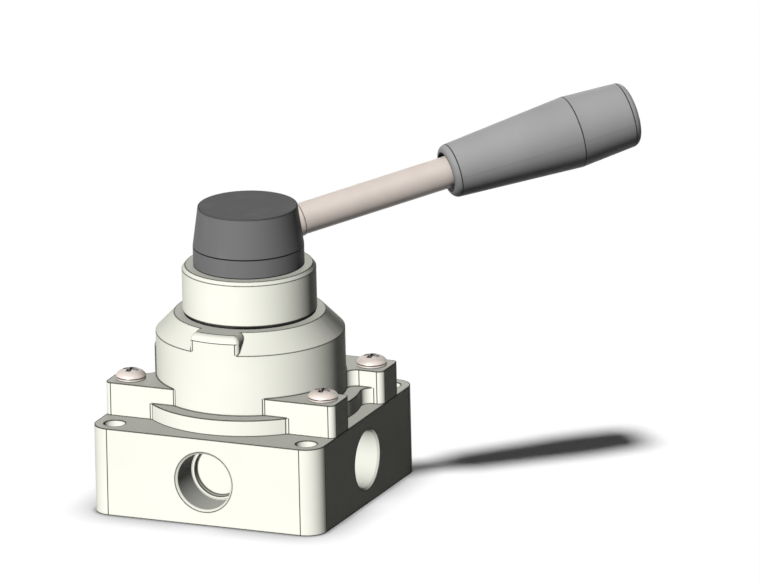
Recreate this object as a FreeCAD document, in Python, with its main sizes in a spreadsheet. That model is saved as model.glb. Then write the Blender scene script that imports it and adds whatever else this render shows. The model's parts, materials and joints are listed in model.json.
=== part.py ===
# Hand lever air valve: a four-port rotary disc valve turned by a lever.
# Millimetres. The origin is the centre of the block's bottom face, +Z runs up the stem,
# and -Y is the side of the cover that carries the position mark.
# At rest the lever stands midway between +X and +Y, which is the middle of its three positions.
import FreeCAD, Part
import Sketcher
import math
import os
import types

Vector = FreeCAD.Vector
Rotation = FreeCAD.Rotation
Placement = FreeCAD.Placement

DOC = FreeCAD.newDocument("hand_lever_air_valve")

# Driving dimensions: name, value, what it is.
DIMENSIONS = [
    ("passage_pitch_radius", 17.5, "distance of the four passages from the stem axis"),
    ("passage_radius", 4.5, "radius of a passage through the seat plate"),
    ("running_gap", 0.05, "clearance between turning and fixed parts"),
    ("seat_gap", 0.1, "clearance of parts that are fitted and don't move"),
    ("block_height", 29.0, "height of the valve block"),
    ("block_margin", 4.75, "valve block beyond the cover's foot ring"),
    ("block_corner", 6.4, "radius of the block's upright corners"),
    ("mount_inset", 6.5, "middle of a mounting hole from the block's sides"),
    ("mount_hole_radius", 3.5, "radius of a mounting hole"),
    ("port_radius", 9.3, "bore of a port's half-inch pipe thread"),
    ("port_chamfer", 0.75, "chamfer round a port's mouth"),
    ("port_depth", 11.7, "depth of a port's full bore"),
    ("port_relief_step", 1.2, "step from a port's bore in to its relief"),
    ("port_relief_depth", 1.8, "depth of the relief at the end of a port"),
    ("gallery_height", 5.0, "height of the gallery from a port to its passage"),
    ("gallery_side", 0.5, "gallery beyond its passage at each side"),
    ("gallery_roof", 1.7, "metal between a gallery and the seat recess"),
    ("gallery_overlap", 1.2, "length of a gallery that opens into its port's bore"),
    ("seat_recess_margin", 1.0, "seat recess beyond the rotary disc"),
    ("seat_recess_depth", 2.5, "depth of the seat recess"),
    ("seat_plate_thickness", 4.5, "thickness of the seat plate"),
    ("port_seal_land", 1.5, "centre line of a port seal outside its passage"),
    ("port_seal_section", 0.75, "half the pressed height of a port seal"),
    ("seat_pin_radius", 2.0, "radius of a seat dowel pin"),
    ("seat_pin_length", 7.0, "length of a seat dowel pin"),
    ("disc_land", 2.5, "rotary disc beyond its kidney ports"),
    ("disc_thickness", 8.0, "thickness of the rotary disc"),
    ("kidney_depth", 5.0, "depth of the two kidney ports in the disc"),
    ("tongue_width", 8.0, "width of the stem's drive tongue"),
    ("tongue_depth", 4.5, "depth of the drive tongue in the disc"),
    ("spring_room", 9.0, "working length of the stack of spring washers"),
    ("spring_width", 5.8, "width of a spring washer"),
    ("spring_thickness", 0.9, "thickness of a spring washer"),
    ("stem_radius", 8.0, "radius of the stem's journal"),
    ("stem_flange_width", 8.5, "stem's flange beyond its journal"),
    ("stem_flange_thickness", 3.0, "thickness of the stem's flange"),
    ("stem_square", 10.0, "across flats of the square that drives the hub"),
    ("square_chamfer", 0.5, "chamfer of the square's upright edges"),
    ("square_drop", 0.2, "top of the square below the top of the hub's web"),
    ("stem_seal_section", 0.9, "section radius of a stem seal"),
    ("stem_seal_land", 0.45, "land of the stem between its two seals"),
    ("seal_bore_length", 4.9, "plain bore for the stem seals below the bush"),
    ("thrust_washer_thickness", 1.0, "thickness of the thrust washer"),
    ("washer_bore_gap", 0.2, "bore of the thrust and spring washers outside the stem"),
    ("bush_wall", 1.5, "wall of the stem's bush"),
    ("bush_length", 11.0, "length of the stem's bush"),
    ("neck_wall", 2.85, "wall of the cover's neck round the bush"),
    ("chamber_margin", 1.5, "cover's chamber beyond the rotary disc"),
    ("cover_wall", 4.4, "wall of the cover's barrel"),
    ("roof_thickness", 2.4, "top of the barrel above the chamber's roof"),
    ("foot_width", 4.85, "cover's foot ring beyond the barrel"),
    ("foot_height", 5.4, "height of the foot ring"),
    ("cone_height", 6.2, "height of the cone above the barrel"),
    ("cone_land", 2.8, "flat top of the cone beyond the turning collar"),
    ("lug_height", 11.0, "height of the four screw lugs"),
    ("lug_inner", 13.0, "inner face of a lug from the middle"),
    ("lug_width", 13.1, "width of a lug"),
    ("lug_corner", 2.0, "radius of a lug's upright corner"),
    ("lug_outer_fillet", 1.4, "fillet between a lug's outer face and the barrel"),
    ("lug_inner_fillet", 3.0, "fillet between a lug's inner face and the barrel"),
    ("mark_half_width", 8.5, "half width of the position mark"),
    ("mark_side_round", 1.5, "rounding of the mark's upright edges"),
    ("mark_top_round", 2.4, "rounding of the mark's top edge"),
    ("label_proud", 0.45, "height of the bare label pad above the barrel"),
    ("label_angle", 54.0, "angle that the label pad covers"),
    ("label_low_margin", 6.6, "lower edge of the label pad above the foot ring"),
    ("label_high_margin", 5.0, "upper edge of the label pad below the barrel's top"),
    ("cover_seal_land", 4.0, "centre line of the cover seal outside the seat recess"),
    ("cover_seal_section", 0.75, "half the pressed height of the cover seal"),
    ("screw_inset", 6.4, "middle of a cover screw from the block's side"),
    ("screw_radius", 2.5, "thread radius of a cover screw"),
    ("screw_hole_gap", 0.25, "clearance of a cover screw in its lug"),
    ("screw_grip", 13.0, "length of a cover screw in the block"),
    ("screw_tip_room", 1.0, "tapping below a cover screw's tip"),
    ("screw_head_radius", 4.9, "radius of a cover screw's head"),
    ("screw_head_rim", 0.9, "height of the head's straight rim"),
    ("screw_head_height", 3.4, "height of a cover screw's head"),
    ("screw_cross_width", 1.3, "width of the head's cross recess"),
    ("screw_cross_reach", 2.4, "half length of the head's cross recess"),
    ("screw_cross_depth", 1.9, "depth of the head's cross recess"),
    ("detent_offset", 4.6, "detent circle outside the cover's neck"),
    ("detent_rim", 3.5, "detent plate outside the detent circle"),
    ("detent_plate_thickness", 2.0, "thickness of the detent plate"),
    ("ball_radius", 2.5, "radius of a detent ball"),
    ("ball_bite", 0.9, "depth that a ball sinks into its dimple"),
    ("pocket_roof", 4.3, "collar above a detent pocket"),
    ("detent_spring_wire", 0.35, "wire radius of a detent spring"),
    ("detent_spring_gap", 0.4, "clearance of a detent spring in its pocket"),
    ("detent_spring_turns", 6.0, "turns of a detent spring"),
    ("turn_each_way", 45.0, "turn of the lever each way from the middle"),
    ("stop_slack", 0.4, "turn of the stop slot past the lever's range"),
    ("stop_pin_radius", 2.5, "radius of the stop pin"),
    ("stop_pin_length", 12.0, "length of the stop pin"),
    ("stop_pin_rise", 5.3, "height of the stop pin above the cone"),
    ("stop_slot_room", 0.5, "stop slot above the stop pin"),
    ("plate_screw_radius", 1.5, "thread radius of a detent plate screw"),
    ("plate_screw_head", 2.8, "head radius of a detent plate screw"),
    ("plate_screw_length", 6.0, "length of a detent plate screw"),
    ("plate_slot_width", 0.75, "width of a detent plate screw's slot"),
    ("plate_slot_depth", 0.65, "depth of a detent plate screw's slot"),
    ("collar_gap", 0.9, "gap between the cone and the turning collar"),
    ("collar_wall", 2.1, "collar outside the detent pockets"),
    ("collar_rise", 1.4, "top of the collar above the hub's web"),
    ("collar_chamfer_width", 1.0, "width of the collar's top chamfer"),
    ("collar_chamfer_height", 1.2, "height of the collar's top chamfer"),
    ("neck_room", 0.5, "hub's bore outside the cover's neck"),
    ("hub_lift", 0.4, "hub's web above the cover's neck"),
    ("hub_web", 6.6, "thickness of the hub's web on the stem"),
    ("hub_spigot_height", 3.0, "height of the spigot that centres the cap"),
    ("boss_room", 0.15, "hub's boss inside the narrow end of the cap"),
    ("cap_room", 0.2, "hub's boss below the cap's ceiling"),
    ("hub_bore_room", 0.5, "hub's bore outside the hub washer"),
    ("hub_screw_radius", 3.0, "thread radius of the hub screw"),
    ("hub_screw_length", 14.0, "length of the hub screw under its head"),
    ("hub_screw_head_radius", 5.0, "radius of the hub screw's head"),
    ("hub_screw_socket", 2.5, "half across flats of the hub screw's socket"),
    ("hub_screw_socket_depth", 3.0, "depth of the hub screw's socket"),
    ("hub_washer_rim", 1.0, "hub washer beyond the screw's head"),
    ("hub_washer_thickness", 1.6, "thickness of the hub washer"),
    ("cap_ledge", 3.7, "collar beyond the cap"),
    ("cap_band", 6.3, "height of the cap's straight band"),
    ("cap_height", 19.4, "whole height of the cap"),
    ("cap_taper", 1.85, "cap's lower band beyond its flat top"),
    ("cap_wall", 2.0, "wall of the cap"),
    ("cap_edge", 0.3, "rounding of the cap's top edge"),
    ("lever_rise", 9.1, "lever axis above the collar, on the stem axis"),
    ("lever_tilt", 10.0, "rise of the lever above the horizontal"),
    ("lever_bearing", 45.0, "direction of the lever from +X at rest"),
    ("rod_radius", 5.15, "radius of the lever rod"),
    ("rod_collar_step", 0.25, "rod's collar beyond the rod"),
    ("rod_collar_seat", 0.9, "depth of the rod's collar in the hub's boss"),
    ("rod_collar_proud", 0.3, "rod's collar outside the cap"),
    ("rod_thread_radius", 4.0, "radius of the rod's threaded end"),
    ("rod_end_room", 0.9, "rod's inner end outside the hub's bore"),
    ("rod_chamfer", 0.8, "chamfer of the rod's two ends"),
    ("grip_start", 69.6, "inner end of the grip from the stem axis"),
    ("grip_hold", 48.4, "length of the rod inside the grip"),
    ("grip_front_length", 43.9, "grip's inner end to its thickest place"),
    ("grip_back_length", 20.7, "grip's thickest place to its outer end"),
    ("grip_mouth_gap", 1.25, "grip's open mouth outside the rod"),
    ("grip_mouth_depth", 1.6, "depth of the grip's open mouth"),
    ("grip_lip", 2.25, "wall of the grip round its mouth"),
    ("grip_swell", 3.15, "grip's thickest place beyond its inner end"),
    ("grip_fall", 1.3, "grip's thickest place beyond its outer end"),
    ("grip_front_round", 2.1, "rounding of the grip's inner end"),
    ("grip_back_round", 2.4, "rounding of the grip's outer end"),
    ("grip_end_room", 0.5, "grip's bore past the rod's end"),
]

# Counts and directions that belong to the design and don't change with its size.
PORT_COUNT = 4
SEAT_PIN_BEARINGS = (45.0, 225.0)
BALL_BEARINGS = (90.0, -90.0)
STOP_BEARING = 180.0
PLATE_SCREW_BEARINGS = (0.0, 157.0, 203.0)
FULL_TURN = 360.0
HEXAGON = 6
SPRING_WASHERS = 4
# Each cover screw's side along X and along Y.
COVER_SCREWS = ((-1, -1), (-1, 1), (1, -1), (1, 1))


class Size:
    # A number together with the sheet expression that it comes from.
    def __init__(self, text, value):
        self.text = text
        self.value = value

    def __add__(self, other):
        other = as_size(other)
        return Size(f"({self.text} + {other.text})", self.value + other.value)

    def __sub__(self, other):
        other = as_size(other)
        return Size(f"({self.text} - {other.text})", self.value - other.value)

    def __mul__(self, other):
        other = as_size(other)
        return Size(f"({self.text} * {other.text})", self.value * other.value)

    def __truediv__(self, other):
        other = as_size(other)
        return Size(f"({self.text} / {other.text})", self.value / other.value)

    def __neg__(self):
        return Size(f"(-1 * {self.text})", -self.value)


def as_size(number):
    if isinstance(number, Size):
        return number
    return Size(str(number), float(number))


def write_sheet():
    sheet = DOC.addObject("Spreadsheet::Sheet", "Sizes")
    for row, (alias, value, note) in enumerate(DIMENSIONS, start=1):
        sheet.set(f"A{row}", note)
        sheet.set(f"B{row}", str(value))
        sheet.setAlias(f"B{row}", alias)
    DOC.recompute()
    names = [alias for alias, value, note in DIMENSIONS]
    return types.SimpleNamespace(**{name: Size(f"Sizes.{name}", float(sheet.get(name))) for name in names})


S = write_sheet()
ZERO = as_size(0)

# Radii outward from the passages: disc, chamber, barrel, foot ring and block.
kidney_inner = S.passage_pitch_radius - S.passage_radius
kidney_outer = S.passage_pitch_radius + S.passage_radius
disc_radius = kidney_outer + S.disc_land
seat_recess_radius = disc_radius + S.seat_recess_margin
cover_seal_radius = seat_recess_radius + S.cover_seal_land
port_seal_radius = S.passage_radius + S.port_seal_land
cavity_radius = disc_radius + S.chamber_margin
barrel_radius = cavity_radius + S.cover_wall
ring_radius = barrel_radius + S.foot_width
half_width = ring_radius + S.block_margin
lug_outer = S.lug_inner + S.lug_width
screw_x = half_width - S.screw_inset
screw_y = S.lug_inner + S.lug_width / 2
mount_offset = half_width - S.mount_inset
gallery_reach = half_width - S.port_depth + S.gallery_overlap

# Radii outward from the stem: bush, neck, detents, collar and cap.
flange_radius = S.stem_radius + S.stem_flange_width
bush_bore = S.stem_radius + S.running_gap
bush_radius = bush_bore + S.bush_wall
neck_radius = bush_radius + S.neck_wall
detent_radius = neck_radius + S.detent_offset
plate_inner = neck_radius + S.seat_gap
plate_outer = detent_radius + S.detent_rim
pocket_radius = S.ball_radius + S.running_gap
stop_slot_radius = S.stop_pin_radius + S.seat_gap
collar_radius = detent_radius + S.ball_radius + S.collar_wall
cone_top_radius = collar_radius + S.cone_land
cap_radius = collar_radius - S.cap_ledge
cap_inner = cap_radius - S.cap_wall
cap_top_radius = cap_radius - S.cap_taper
boss_radius = cap_top_radius - S.cap_wall - S.boss_room
hub_washer_radius = S.hub_screw_head_radius + S.hub_washer_rim
hub_bore_radius = hub_washer_radius + S.hub_bore_room

# Levels up the stem, each from the sizes below it.
port_level = S.block_height / 2
seat_floor = S.block_height - S.seat_recess_depth
gallery_top = seat_floor - S.gallery_roof
gallery_floor = gallery_top - S.gallery_height
seat_face = seat_floor + S.seat_plate_thickness
disc_floor = seat_face + S.running_gap
disc_top = disc_floor + S.disc_thickness
flange_floor = disc_top + S.spring_room
flange_top = flange_floor + S.stem_flange_thickness
washer_floor = flange_top + S.running_gap
roof = washer_floor + S.thrust_washer_thickness
bush_floor = roof + S.seal_bore_length
neck_top = bush_floor + S.bush_length
ring_top = S.block_height + S.foot_height
lug_top = S.block_height + S.lug_height
barrel_top = roof + S.roof_thickness
cone_top = barrel_top + S.cone_height
plate_floor = cone_top - S.detent_plate_thickness
ball_centre = cone_top - S.ball_bite + S.ball_radius + S.running_gap
stop_pin_floor = cone_top + S.stop_pin_rise - S.stop_pin_length
collar_floor = cone_top + S.collar_gap
web_floor = neck_top + S.hub_lift
web_top = web_floor + S.hub_web
collar_top = web_top + S.collar_rise
pocket_top = collar_top - S.pocket_roof
cap_top = collar_top + S.cap_height
cap_ceiling = cap_top - S.cap_wall
hub_top = cap_ceiling - S.cap_room
lever_level = collar_top + S.lever_rise
stop_bearing = S.lever_bearing + STOP_BEARING

# Distances along the lever from the stem axis.
rod_start = hub_bore_radius + S.rod_end_room
rod_collar_radius = S.rod_radius + S.rod_collar_step
rod_collar_start = boss_radius - S.rod_collar_seat
rod_collar_end = cap_radius + S.rod_collar_proud
rod_end = S.grip_start + S.grip_hold
grip_crest = S.grip_start + S.grip_front_length
grip_end = grip_crest + S.grip_back_length
grip_mouth_radius = S.rod_radius + S.grip_mouth_gap
grip_front_radius = grip_mouth_radius + S.grip_lip
grip_crest_radius = grip_front_radius + S.grip_swell
grip_back_radius = grip_crest_radius - S.grip_fall


def new_body(label):
    body = DOC.addObject("PartDesign::Body", label)
    body.Label = label
    return body


def origin_item(body, role):
    for item in body.Origin.OriginFeatures:
        if item.Role == role:
            return item
    raise ValueError(role)


def new_sketch(body, role, name, height=ZERO):
    sketch = body.newObject("Sketcher::SketchObject", name)
    sketch.AttachmentSupport = [(origin_item(body, role), "")]
    sketch.MapMode = "FlatFace"
    sketch.AttachmentOffset = Placement(Vector(0, 0, height.value), Rotation())
    sketch.setExpression("AttachmentOffset.Base.z", height.text)
    return sketch


def fix_point(sketch, edge, vertex, x, y):
    for kind, size in (("DistanceX", as_size(x)), ("DistanceY", as_size(y))):
        index = sketch.addConstraint(Sketcher.Constraint(kind, -1, 1, edge, vertex, size.value))
        sketch.setExpression(f"Constraints[{index}]", size.text)


def outline(sketch, points):
    # A closed outline of straight lines through the points.
    points = [(as_size(x), as_size(y)) for x, y in points]
    corners = [Vector(x.value, y.value, 0) for x, y in points]
    first = sketch.GeometryCount
    count = len(corners)
    for index in range(count):
        line = Part.LineSegment(corners[index], corners[(index + 1) % count])
        sketch.addGeometry(line, False)
    for index in range(count):
        after = first + (index + 1) % count
        sketch.addConstraint(Sketcher.Constraint("Coincident", first + index, 2, after, 1))
    for index, (x, y) in enumerate(points):
        fix_point(sketch, first + index, 1, x, y)


def rectangle(sketch, left, low, right, high):
    outline(sketch, [(left, low), (right, low), (right, high), (left, high)])


def circle(sketch, x, y, radius):
    x, y = as_size(x), as_size(y)
    shape = Part.Circle(Vector(x.value, y.value, 0), Vector(0, 0, 1), radius.value)
    edge = sketch.addGeometry(shape, False)
    index = sketch.addConstraint(Sketcher.Constraint("Radius", edge, radius.value))
    sketch.setExpression(f"Constraints[{index}]", radius.text)
    fix_point(sketch, edge, 3, x, y)


def volume_of(body):
    DOC.recompute()
    return body.Shape.Volume


def pad(body, sketch, name, length):
    feature = body.newObject("PartDesign::Pad", name)
    feature.Profile = sketch
    feature.Length = length.value
    feature.setExpression("Length", length.text)
    DOC.recompute()
    return feature


def pocket(body, sketch, name, depth):
    before = volume_of(body)
    feature = body.newObject("PartDesign::Pocket", name)
    feature.Profile = sketch
    feature.Length = depth.value
    feature.setExpression("Length", depth.text)
    if not volume_of(body) < before:
        raise ValueError(f"{body.Label}: {name} cuts nothing")
    return feature


def spin(body, kind, sketch, name, angle=None, axis="V_Axis"):
    feature = body.newObject(kind, name)
    feature.Profile = sketch
    feature.ReferenceAxis = (sketch, [axis])
    if angle is None:
        feature.Angle = FULL_TURN
    else:
        feature.Midplane = True
        feature.Angle = angle.value
        feature.setExpression("Angle", angle.text)
    DOC.recompute()
    return feature


def revolve(body, name, points, angle=None):
    sketch = new_sketch(body, "XZ_Plane", f"{name}_profile")
    outline(sketch, points)
    return spin(body, "PartDesign::Revolution", sketch, name, angle)


def groove(body, name, points, angle=None):
    before = volume_of(body)
    sketch = new_sketch(body, "XZ_Plane", f"{name}_profile")
    outline(sketch, points)
    feature = spin(body, "PartDesign::Groove", sketch, name, angle)
    if not volume_of(body) < before:
        raise ValueError(f"{body.Label}: {name} cuts nothing")
    return feature


def drill(body, name, place, radius, depth):
    # A round hole from the placement's origin along its +Z.
    before = volume_of(body)
    feature = body.newObject("PartDesign::SubtractiveCylinder", name)
    feature.Placement = place
    feature.Radius = radius.value
    feature.setExpression("Radius", radius.text)
    feature.Height = depth.value
    feature.setExpression("Height", depth.text)
    if not volume_of(body) < before:
        raise ValueError(f"{body.Label}: {name} cuts nothing")
    return feature


def polar(body, name, originals, count, angle=FULL_TURN):
    feature = body.newObject("PartDesign::PolarPattern", name)
    feature.Originals = originals
    feature.Axis = (origin_item(body, "Z_Axis"), [""])
    feature.Angle = angle
    feature.Occurrences = count
    body.Tip = feature
    DOC.recompute()
    return feature


def mirrored(body, name, originals, role):
    feature = body.newObject("PartDesign::Mirrored", name)
    feature.Originals = originals
    feature.MirrorPlane = (origin_item(body, role), [""])
    body.Tip = feature
    DOC.recompute()
    return feature


def round_edges(body, name, radius, wanted, kind="PartDesign::Fillet"):
    # Rounds or chamfers the edges of the body's last feature that the test picks.
    DOC.recompute()
    base = body.Tip
    picked = [f"Edge{i}" for i, edge in enumerate(base.Shape.Edges, start=1) if wanted(edge)]
    if not picked:
        raise ValueError(f"{body.Label}: {name} finds no edge")
    feature = body.newObject(kind, name)
    feature.Base = (base, picked)
    if kind == "PartDesign::Fillet":
        feature.Radius = radius.value
        feature.setExpression("Radius", radius.text)
    else:
        feature.Size = radius.value
        feature.setExpression("Size", radius.text)
    body.Tip = feature
    DOC.recompute()
    return feature


def near(value, size, slack=0.02):
    return abs(value - size.value) < slack


def is_upright(edge):
    low, high = edge.Vertexes[0].Point, edge.Vertexes[-1].Point
    return abs(low.x - high.x) < 1e-4 and abs(low.y - high.y) < 1e-4 and abs(low.z - high.z) > 0.1


def is_ring(edge, radius, level):
    # A whole circle about the Z axis.
    curve = edge.Curve
    round_edge = isinstance(curve, Part.Circle) and near(curve.Radius, radius)
    return round_edge and near(edge.BoundBox.Center.z, level)


def at(x, y, z, rotation=None):
    numbers = [as_size(item).value for item in (x, y, z)]
    return Placement(Vector(*numbers), rotation or Rotation())


def on_circle(radius, bearing, z):
    angle = math.radians(as_size(bearing).value)
    return at(radius.value * math.cos(angle), radius.value * math.sin(angle), z)


def about_stem(bearing):
    return Placement(Vector(), Rotation(Vector(0, 0, 1), as_size(bearing).value))


def group(label, template, places):
    # Identical pieces in one node, each a solid of its own.
    DOC.recompute()
    copies = []
    for place in places:
        copy = template.Shape.copy()
        copy.Placement = place.multiply(template.Shape.Placement)
        copies.append(copy)
    node = DOC.addObject("Part::Feature", label)
    node.Label = label
    node.Shape = Part.makeCompound(copies)
    return node


def ring_body(label, inner, outer, low, high):
    # A plain ring about the stem.
    body = new_body(label)
    revolve(body, f"{label}_ring", [(inner, low), (outer, low), (outer, high), (inner, high)])
    return body


def seal_ring(label, ring_radius, section):
    seal = DOC.addObject("Part::Torus", label)
    seal.Label = label
    seal.Radius1 = ring_radius.value
    seal.setExpression("Radius1", ring_radius.text)
    seal.Radius2 = section.value
    seal.setExpression("Radius2", section.text)
    return seal


def coil(label, coil_radius, wire_radius, length, turns, low):
    # A compression spring between two flat seats, its wire kept inside the given length.
    rise = length.value - 2 * wire_radius.value
    helix = Part.makeHelix(rise / turns.value, rise, coil_radius.value)
    start = Vector(coil_radius.value, 0, 0)
    wire = Part.Wire([Part.Edge(Part.Circle(start, Vector(0, 1, 0), wire_radius.value))])
    solid = Part.Wire(helix.Edges).makePipeShell([wire], True, True)
    solid.translate(Vector(0, 0, low.value + wire_radius.value))
    node = DOC.addObject("Part::Feature", label)
    node.Label = label
    node.Shape = solid
    return node


def make_valve_block():
    body = new_body("valve_block")
    base = new_sketch(body, "XY_Plane", "block_outline")
    rectangle(base, -half_width, -half_width, half_width, half_width)
    pad(body, base, "block", S.block_height)
    round_edges(body, "block_corners", S.block_corner, is_upright)

    # One port towards -Y with its gallery and passage, then the other three.
    port_profile = new_sketch(body, "YZ_Plane", "port_profile")
    mouth = -half_width
    step = S.port_depth - half_width
    floor = step + S.port_relief_depth
    centre = port_level
    relief = S.port_radius - S.port_relief_step
    outline(port_profile, [
        (mouth, centre), (floor, centre), (floor, centre + relief),
        (step, centre + relief), (step, centre + S.port_radius),
        (mouth + S.port_chamfer, centre + S.port_radius), (mouth, centre + S.port_radius + S.port_chamfer)])
    port = spin(body, "PartDesign::Groove", port_profile, "port", axis="Edge1")
    gallery_plan = new_sketch(body, "XY_Plane", "gallery_plan", gallery_top)
    gallery_half = S.passage_radius + S.gallery_side
    rectangle(gallery_plan, -gallery_half, -gallery_reach, gallery_half, -S.passage_pitch_radius)
    gallery = pocket(body, gallery_plan, "gallery", S.gallery_height)
    passage = drill(body, "passage", at(0, -S.passage_pitch_radius, gallery_floor), S.passage_radius,
                    seat_floor - gallery_floor)
    polar(body, "ports", [port, gallery, passage], PORT_COUNT)

    groove(body, "seat_recess", [
        (0, seat_floor), (seat_recess_radius, seat_floor),
        (seat_recess_radius, S.block_height), (0, S.block_height)])
    seal_inner = cover_seal_radius - S.cover_seal_section - S.seat_gap
    seal_outer = cover_seal_radius + S.cover_seal_section + S.seat_gap
    seal_floor = S.block_height - S.cover_seal_section * 2
    groove(body, "cover_seal_groove", [
        (seal_inner, seal_floor), (seal_outer, seal_floor),
        (seal_outer, S.block_height), (seal_inner, S.block_height)])

    mounts = new_sketch(body, "XY_Plane", "mount_hole_plan", S.block_height)
    screws = new_sketch(body, "XY_Plane", "screw_hole_plan", S.block_height)
    for side in (-1, 1):
        for end in (-1, 1):
            circle(mounts, mount_offset * side, mount_offset * end, S.mount_hole_radius)
            circle(screws, screw_x * side, screw_y * end, S.screw_radius)
    pocket(body, mounts, "mount_holes", S.block_height)
    pocket(body, screws, "screw_holes", S.screw_grip + S.screw_tip_room)
    pins = new_sketch(body, "XY_Plane", "seat_pin_plan", seat_floor)
    for bearing in SEAT_PIN_BEARINGS:
        circle(pins, *pin_place(bearing), S.seat_pin_radius)
    pocket(body, pins, "seat_pin_holes", S.seat_pin_length / 2)
    return body


def pin_place(bearing):
    angle = math.radians(bearing)
    return S.passage_pitch_radius * math.cos(angle), S.passage_pitch_radius * math.sin(angle)


def make_seat_plate():
    body = new_body("seat_plate")
    plan = new_sketch(body, "XY_Plane", "seat_plan", seat_floor)
    circle(plan, 0, 0, seat_recess_radius - S.seat_gap)
    pad(body, plan, "seat_disc", S.seat_plate_thickness)
    hole = drill(body, "seat_port", at(0, -S.passage_pitch_radius, seat_floor), S.passage_radius,
                 S.seat_plate_thickness)
    seal_plan = new_sketch(body, "XY_Plane", "port_seal_plan", seat_floor + S.port_seal_section * 2)
    circle(seal_plan, 0, -S.passage_pitch_radius, port_seal_radius + S.port_seal_section + S.seat_gap)
    circle(seal_plan, 0, -S.passage_pitch_radius, port_seal_radius - S.port_seal_section - S.seat_gap)
    seal_groove = pocket(body, seal_plan, "port_seal_groove", S.port_seal_section * 2)
    polar(body, "seat_ports", [hole, seal_groove], PORT_COUNT)
    pins = new_sketch(body, "XY_Plane", "plate_pin_plan", seat_floor + S.seat_pin_length / 2)
    for bearing in SEAT_PIN_BEARINGS:
        circle(pins, *pin_place(bearing), S.seat_pin_radius + S.running_gap)
    pocket(body, pins, "plate_pin_holes", S.seat_pin_length / 2)
    return body


def make_port_seals():
    seal = seal_ring("port_seal", port_seal_radius, S.port_seal_section)
    level = seat_floor + S.port_seal_section
    places = [on_circle(S.passage_pitch_radius, FULL_TURN * i / PORT_COUNT, level) for i in range(PORT_COUNT)]
    return group("port_seals", seal, places)


def make_seat_pins():
    pin = DOC.addObject("Part::Cylinder", "seat_pin")
    pin.setExpression("Radius", S.seat_pin_radius.text)
    pin.setExpression("Height", S.seat_pin_length.text)
    level = seat_floor - S.seat_pin_length / 2
    return group("seat_pins", pin, [on_circle(S.passage_pitch_radius, b, level) for b in SEAT_PIN_BEARINGS])


def is_lug_root(edge, side):
    # Where a lug's face, at that distance from the middle, meets the ring or the barrel.
    inside = abs(edge.CenterOfMass.x) < ring_radius.value and edge.BoundBox.ZMax < lug_top.value + 0.1
    return is_upright(edge) and inside and near(abs(edge.CenterOfMass.y), side)


def make_cover():
    body = new_body("cover")
    revolve(body, "cover_shell", [
        (0, S.block_height), (ring_radius, S.block_height), (ring_radius, ring_top),
        (barrel_radius, ring_top), (barrel_radius, barrel_top), (cone_top_radius, cone_top),
        (neck_radius, cone_top), (neck_radius, neck_top), (0, neck_top)])
    lug_plan = new_sketch(body, "XY_Plane", "lug_plan", S.block_height)
    rectangle(lug_plan, -half_width, S.lug_inner, half_width, lug_outer)
    lugs = pad(body, lug_plan, "lugs_back", S.lug_height)
    mirrored(body, "lugs_front", [lugs], "XZ_Plane")
    round_edges(body, "lug_corners", S.lug_corner,
                lambda edge: is_upright(edge) and near(abs(edge.CenterOfMass.x), half_width))

    # The position mark: a block on the cone whose front follows the barrel.
    mark_plan = new_sketch(body, "XY_Plane", "mark_plan", barrel_top)
    rectangle(mark_plan, -S.mark_half_width, -barrel_radius - S.mark_side_round, S.mark_half_width, -neck_radius)
    pad(body, mark_plan, "mark", S.cone_height)
    groove(body, "mark_front", [
        (barrel_radius, barrel_top), (barrel_radius + S.cone_height, barrel_top),
        (barrel_radius + S.cone_height, cone_top), (barrel_radius, cone_top)])
    mark_edge = -math.sqrt(barrel_radius.value ** 2 - S.mark_half_width.value ** 2)
    round_edges(body, "mark_sides", S.mark_side_round,
                lambda edge: is_upright(edge) and near(abs(edge.CenterOfMass.x), S.mark_half_width)
                and abs(edge.CenterOfMass.y - mark_edge) < 0.1)
    round_edges(body, "mark_top", S.mark_top_round,
                lambda edge: near(edge.BoundBox.ZMin, cone_top) and near(edge.BoundBox.ZMax, cone_top)
                and edge.CenterOfMass.y < mark_edge + S.mark_side_round.value)

    # A bare pad where a label would go, facing -X.
    label_low = ring_top + S.label_low_margin
    label_high = barrel_top - S.label_high_margin
    label_outer = barrel_radius + S.label_proud
    label_root = barrel_radius - S.cover_wall / 2
    revolve(body, "label_pad", [
        (-label_outer, label_low), (-label_root, label_low),
        (-label_root, label_high + S.label_proud), (-barrel_radius, label_high + S.label_proud),
        (-label_outer, label_high)], S.label_angle)

    round_edges(body, "lug_outer_fillets", S.lug_outer_fillet, lambda edge: is_lug_root(edge, lug_outer))
    round_edges(body, "lug_inner_fillets", S.lug_inner_fillet, lambda edge: is_lug_root(edge, S.lug_inner))

    # Inside: the disc chamber, the stem bore and the seat of the bush.
    bore = S.stem_radius + S.seat_gap
    groove(body, "chamber", [
        (0, S.block_height), (cavity_radius, S.block_height), (cavity_radius, roof), (bore, roof),
        (bore, bush_floor), (bush_radius, bush_floor), (bush_radius, neck_top), (0, neck_top)])
    groove(body, "detent_recess", [
        (neck_radius, plate_floor), (plate_outer + S.seat_gap, plate_floor),
        (plate_outer + S.seat_gap, cone_top), (neck_radius, cone_top)])
    screws = new_sketch(body, "XY_Plane", "cover_screw_plan", lug_top)
    for side in (-1, 1):
        for end in (-1, 1):
            circle(screws, screw_x * side, screw_y * end, S.screw_radius + S.screw_hole_gap)
    pocket(body, screws, "cover_screw_holes", S.lug_height)
    drill(body, "stop_pin_hole", on_circle(detent_radius, stop_bearing, stop_pin_floor), S.stop_pin_radius,
          S.stop_pin_length)
    for index, bearing in enumerate(PLATE_SCREW_BEARINGS):
        place = on_circle(detent_radius, S.lever_bearing + bearing, cone_top - S.plate_screw_length)
        drill(body, f"plate_screw_hole_{index}", place, S.plate_screw_radius, S.plate_screw_length)
    return body


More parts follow.
